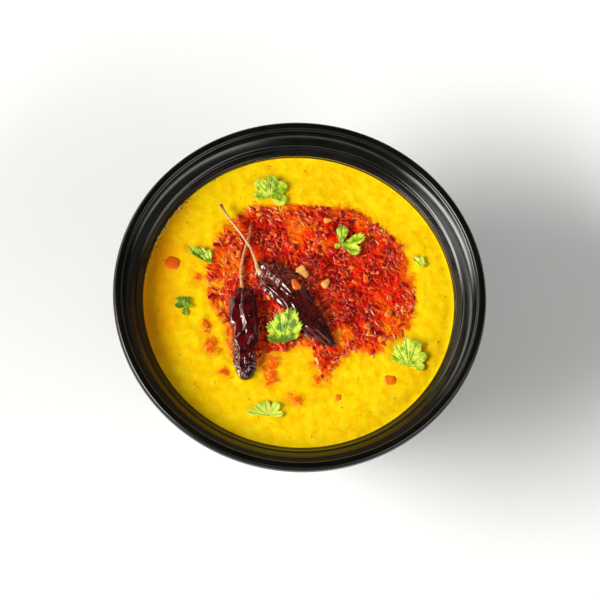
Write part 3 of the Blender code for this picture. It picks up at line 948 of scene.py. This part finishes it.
def put_down(shape, solid, x, y, lift, spin, lean, roll, tint):
    """Adds the solid, turned and set on the dal, or the pod on it, at (x, y), in metres."""
    vertices, faces = solid
    turn = Matrix.Rotation(spin, 3, "Z") @ Matrix.Rotation(lean, 3, "Y") @ Matrix.Rotation(roll, 3, "X")
    place = Vector((x, y, max(dal_height(x, y), pod_top(x, y) - 0.3 * MM) + lift))
    shape.add([turn @ v + place for v in vertices], faces, tint=tint)


def any_turn(rng):
    """A random turn, in radians."""
    return rng.uniform(0, 6.28)


def in_patch(x, y, patches):
    return any(math.hypot(x - px, y - py) < radius for px, py, radius in patches)


def spice_places(count, rng, edge, pool_share, clump):
    """Random places on the oil: fewer in the pools and where it is thin, none under the pods."""
    places = []
    while len(places) < count:
        x, y = rng.uniform(-44, 51), rng.uniform(-38, 48)
        if spice_depth(x, y) < edge or pod_distance(x, y) < -0.6:
            continue
        if in_patch(x, y, POOLS) and rng.random() > pool_share:
            continue
        if in_patch(x, y, THIN_OIL) and rng.random() > THIN_OIL_SHARE:
            continue
        if rng.random() <= 0.5 + clump * noise.noise(Vector((x / 7, y / 7, 5))):
            places.append((x * MM, y * MM))
    return places


def spice_piece(shape, name, stops, roughness, coat):
    shape.piece(name, [spice_material(name, stops, roughness, coat)], "dal")


def make_shreds(rng):
    """Shreds of fried onion and garlic, red with oil, many lying along the same slant."""
    shape = Shape("tint")
    places = spice_places(1500, rng, 0.3, 0.10, 1.3)
    richness = oil_richness(np.array(places) / MM)
    for (x, y), rich in zip(places, richness):
        length = rng.uniform(1.6, 3.9) * MM
        radius = rng.uniform(0.20, 0.36) * MM
        shred = spindle(length, radius, rng.uniform(-0.16, 0.16) * length, 6, 7)
        spin = rng.gauss(-0.55, 0.65)
        margin = max(0.0, 1 - spice_depth(x / MM, y / MM) / 5)
        put_down(shape, shred, x, y, rng.uniform(-0.2, 0.12) * MM, spin, rng.uniform(-0.2, 0.2),
                 rng.uniform(-0.7, 0.7),
                 rng.random() * (1 - 0.4 * margin - 0.25 * rich) + 0.45 * margin - 0.12 * rich)
    # Tints run dark to pale, darker where the oil is deep and in the painted pod shadow; the palest are
    # pale fried garlic and also stand in for glints, as painted highlights.
    spice_piece(shape, "fried_shreds", (
        (0.0, (0.18, 0.0015, 0.0005)), (0.30, (0.54, 0.005, 0.0005)), (0.56, (0.90, 0.035, 0.0005)),
        (0.80, (0.96, 0.16, 0.005)), (1.0, (1.0, 0.55, 0.20))), 0.12, 1.0)


def make_cumin(rng):
    """Cumin seeds: curved, ribbed along their length."""
    shape = Shape("tint")
    sides = 12
    for x, y in spice_places(70, rng, 0.5, 0.3, 0.8):
        length = rng.uniform(3.4, 4.8) * MM
        radius = rng.uniform(0.38, 0.55) * MM
        vertices, faces = spindle(length, radius, rng.uniform(-0.12, 0.12) * length, sides, 11)
        for k, v in enumerate(vertices[:-2]):
            rib = 1 + 0.13 * math.cos(math.pi * (k % sides))
            v.y *= rib
            v.z *= rib
        put_down(shape, (vertices, faces), x, y, rng.uniform(0.0, 0.3) * MM, any_turn(rng),
                 rng.uniform(-0.15, 0.15), any_turn(rng), rng.random())
    spice_piece(shape, "cumin_seeds", (
        (0.0, (0.26, 0.004, 0.001)), (0.5, (0.54, 0.025, 0.002)), (1.0, (0.74, 0.12, 0.008))), 0.18, 0.7)


def make_flakes(rng):
    """Flakes of chilli skin."""
    shape = Shape("tint")
    for x, y in spice_places(480, rng, 0.6, 0.3, 1.0):
        skin = flake(rng.uniform(0.7, 2.2) * MM, 0.25 * MM, rng)
        put_down(shape, skin, x, y, rng.uniform(-0.15, 0.15) * MM, any_turn(rng),
                 rng.uniform(-0.3, 0.3), rng.uniform(-0.3, 0.3), rng.random())
    spice_piece(shape, "chilli_flakes", (
        (0.0, (0.20, 0.0015, 0.0005)), (0.5, (0.64, 0.007, 0.0005)),
        (1.0, (0.94, 0.10, 0.001))), 0.13, 0.9)


def make_garlic(rng):
    """Fried garlic: the larger wedges where they lie, and crumbs among the spices."""
    shape = Shape("tint")
    for k, (x, y, size, spin, tint) in enumerate(GARLIC):
        vertices, faces = chunk(size * MM, (1.35, 0.85, 0.55), 5.0 * k, 14, 9, 0.8)
        for v in vertices:
            v.y *= 0.95 - 0.28 * v.x / (size * MM)
        put_down(shape, (vertices, faces), x * MM, y * MM, 0.28 * size * MM, math.radians(spin),
                 0.12, 0.15, tint)
    for k, (x, y) in enumerate(spice_places(45, rng, 0.5, 0.5, 0.6)):
        size = rng.uniform(0.45, 0.95) * MM
        put_down(shape, chunk(size, (1.4, 0.9, 0.6), 2.3 * k, 10, 7, 0.8), x, y, 0.15 * size,
                 any_turn(rng), 0.2, 0.2, rng.uniform(0.0, 0.4))
    spice_piece(shape, "fried_garlic", (
        (0.0, (0.78, 0.07, 0.004)), (0.4, (0.90, 0.24, 0.02)), (0.75, (0.94, 0.42, 0.09)),
        (1.0, (0.96, 0.60, 0.22))), 0.2, 0.6)


def make_tomato(rng):
    """Bits of tomato, mostly sunk in the dal."""
    shape = Shape("tint")
    for k, (x, y, size, tint) in enumerate(TOMATO):
        bit = chunk(size * MM, (1.15, 1.0, 0.36), 3.0 * k, 28, 18, 0.25)
        put_down(shape, bit, x * MM, y * MM, -0.10 * size * MM, any_turn(rng), 0, 0, tint)
    spice_piece(shape, "tomato_bits", (
        (0.0, (0.90, 0.30, 0.002)), (0.5, (0.88, 0.17, 0.002)), (1.0, (0.88, 0.055, 0.002))), 0.2, 0.5)


def make_herb_flecks(rng):
    """Dark flecks of herb and mustard seed all over the dal."""
    shape = Shape("tint")
    for _ in range(110):
        x, y = around(64 * MM * math.sqrt(rng.random()), any_turn(rng))
        fleck = flake(rng.uniform(0.18, 0.5) * MM, 0.10 * MM, rng)
        put_down(shape, fleck, x, y, 0.02 * MM, any_turn(rng), 0, 0, rng.random())
    spice_piece(shape, "herb_flecks", (
        (0.0, (0.18, 0.11, 0.006)), (0.6, (0.36, 0.22, 0.006)), (1.0, (0.52, 0.28, 0.006))), 0.4, 0.2)


def make_bubbles(rng):
    """Small bubbles and scraps of film where the dal meets the wall, thickest at the upper left."""
    shape = Shape("tint")
    for _ in range(80):
        turn = math.radians(rng.gauss(158, 11))
        reach = DAL_RADIUS - abs(rng.gauss(0.2, 0.6)) * MM
        size = rng.uniform(0.2, 0.5) * MM
        bubble = chunk(size, (1, 1, 0.6), 3.1, 10, 7, 0.0)
        put_down(shape, bubble, *around(reach, turn), 0.1 * size, 0, 0, 0, rng.random())
    spice_piece(shape, "edge_bubbles", (
        (0.0, (0.20, 0.11, 0.004)), (0.6, (0.62, 0.36, 0.01)), (1.0, (0.86, 0.66, 0.16))), 0.2, 0.4)


# ---- surroundings

def add_floor():
    mesh = bpy.data.meshes.new("floor")
    reach = 4.0
    corners = ((-reach, -reach, 0), (reach, -reach, 0), (reach, reach, 0), (-reach, reach, 0))
    mesh.from_pydata(corners, [], [(0, 1, 2, 3)])
    mesh.materials.append(floor_material())
    add_object("floor", mesh)


def add_lights():
    """A pale horizon under a dark ceiling, and lamps with soft edges."""
    world = bpy.data.worlds.new("studio")
    bpy.context.scene.world = world
    graph = Graph(world, "Generated")

    def facing(direction):
        return graph.vector("DOT_PRODUCT", graph.place, tuple(direction))

    light = graph.vector("SCALE", (1.0, 1.0, 1.0), graph.span(facing((0, 0, 1)), 0.08, 0.45, *SKY))
    for place, half_width, half_height, strength, colour in LAMPS:
        forward = Vector(place).normalized()
        side = forward.cross(Vector((0, 0, 1))).normalized()
        up = side.cross(forward)
        offset = graph.fill(graph.node("CombineXYZ"), X=facing(side / half_width),
                            Y=facing(up / half_height))
        distance = graph.vector("LENGTH", offset.outputs[0])
        glow = graph.vector("SCALE", colour, graph.span(distance, 1.5, 0.6, 0.0, strength))
        lamp = graph.vector("SCALE", glow, graph.span(facing(forward), 0.0, 0.1))
        light = graph.vector("ADD", light, lamp)
    graph.fill(graph.tree.nodes["Background"], Color=light)


def add_camera():
    """From the front and high above, with a slight roll."""
    elevation = math.radians(68.71)
    roll = math.radians(7.36)
    distance = 0.96
    target = Vector((0.36 * MM, -4.44 * MM, BOWL_HEIGHT))
    back = Vector((0, -math.cos(elevation), math.sin(elevation)))
    right = Vector((1, 0, 0))
    up = right.cross(-back)
    across = right * math.cos(roll) + up * math.sin(roll)
    top = up * math.cos(roll) - right * math.sin(roll)
    data = bpy.data.cameras.new("camera")
    data.lens = 134.98
    camera = add_object("camera", data)
    axes = Matrix((across, top, back)).transposed()
    camera.matrix_world = Matrix.Translation(target + back * distance) @ axes.to_4x4()
    bpy.context.scene.camera = camera


STEM_MATERIAL = stem_material()
LEAF_MATERIAL = leaf_material()
make_bowl()
make_dal()
for chilli_name in PODS:
    make_chilli(chilli_name)
leaf_rng = random.Random(7)
for leaf_name in LEAVES:
    make_leaf(leaf_name, leaf_rng)
SPICES = (make_shreds, make_cumin, make_flakes, make_garlic, make_tomato, make_herb_flecks, make_bubbles)
for spice_seed, make_spice in enumerate(SPICES, 11):
    make_spice(random.Random(spice_seed))
add_floor()
add_lights()
add_camera()
bpy.context.scene.view_settings.view_transform = "Standard"
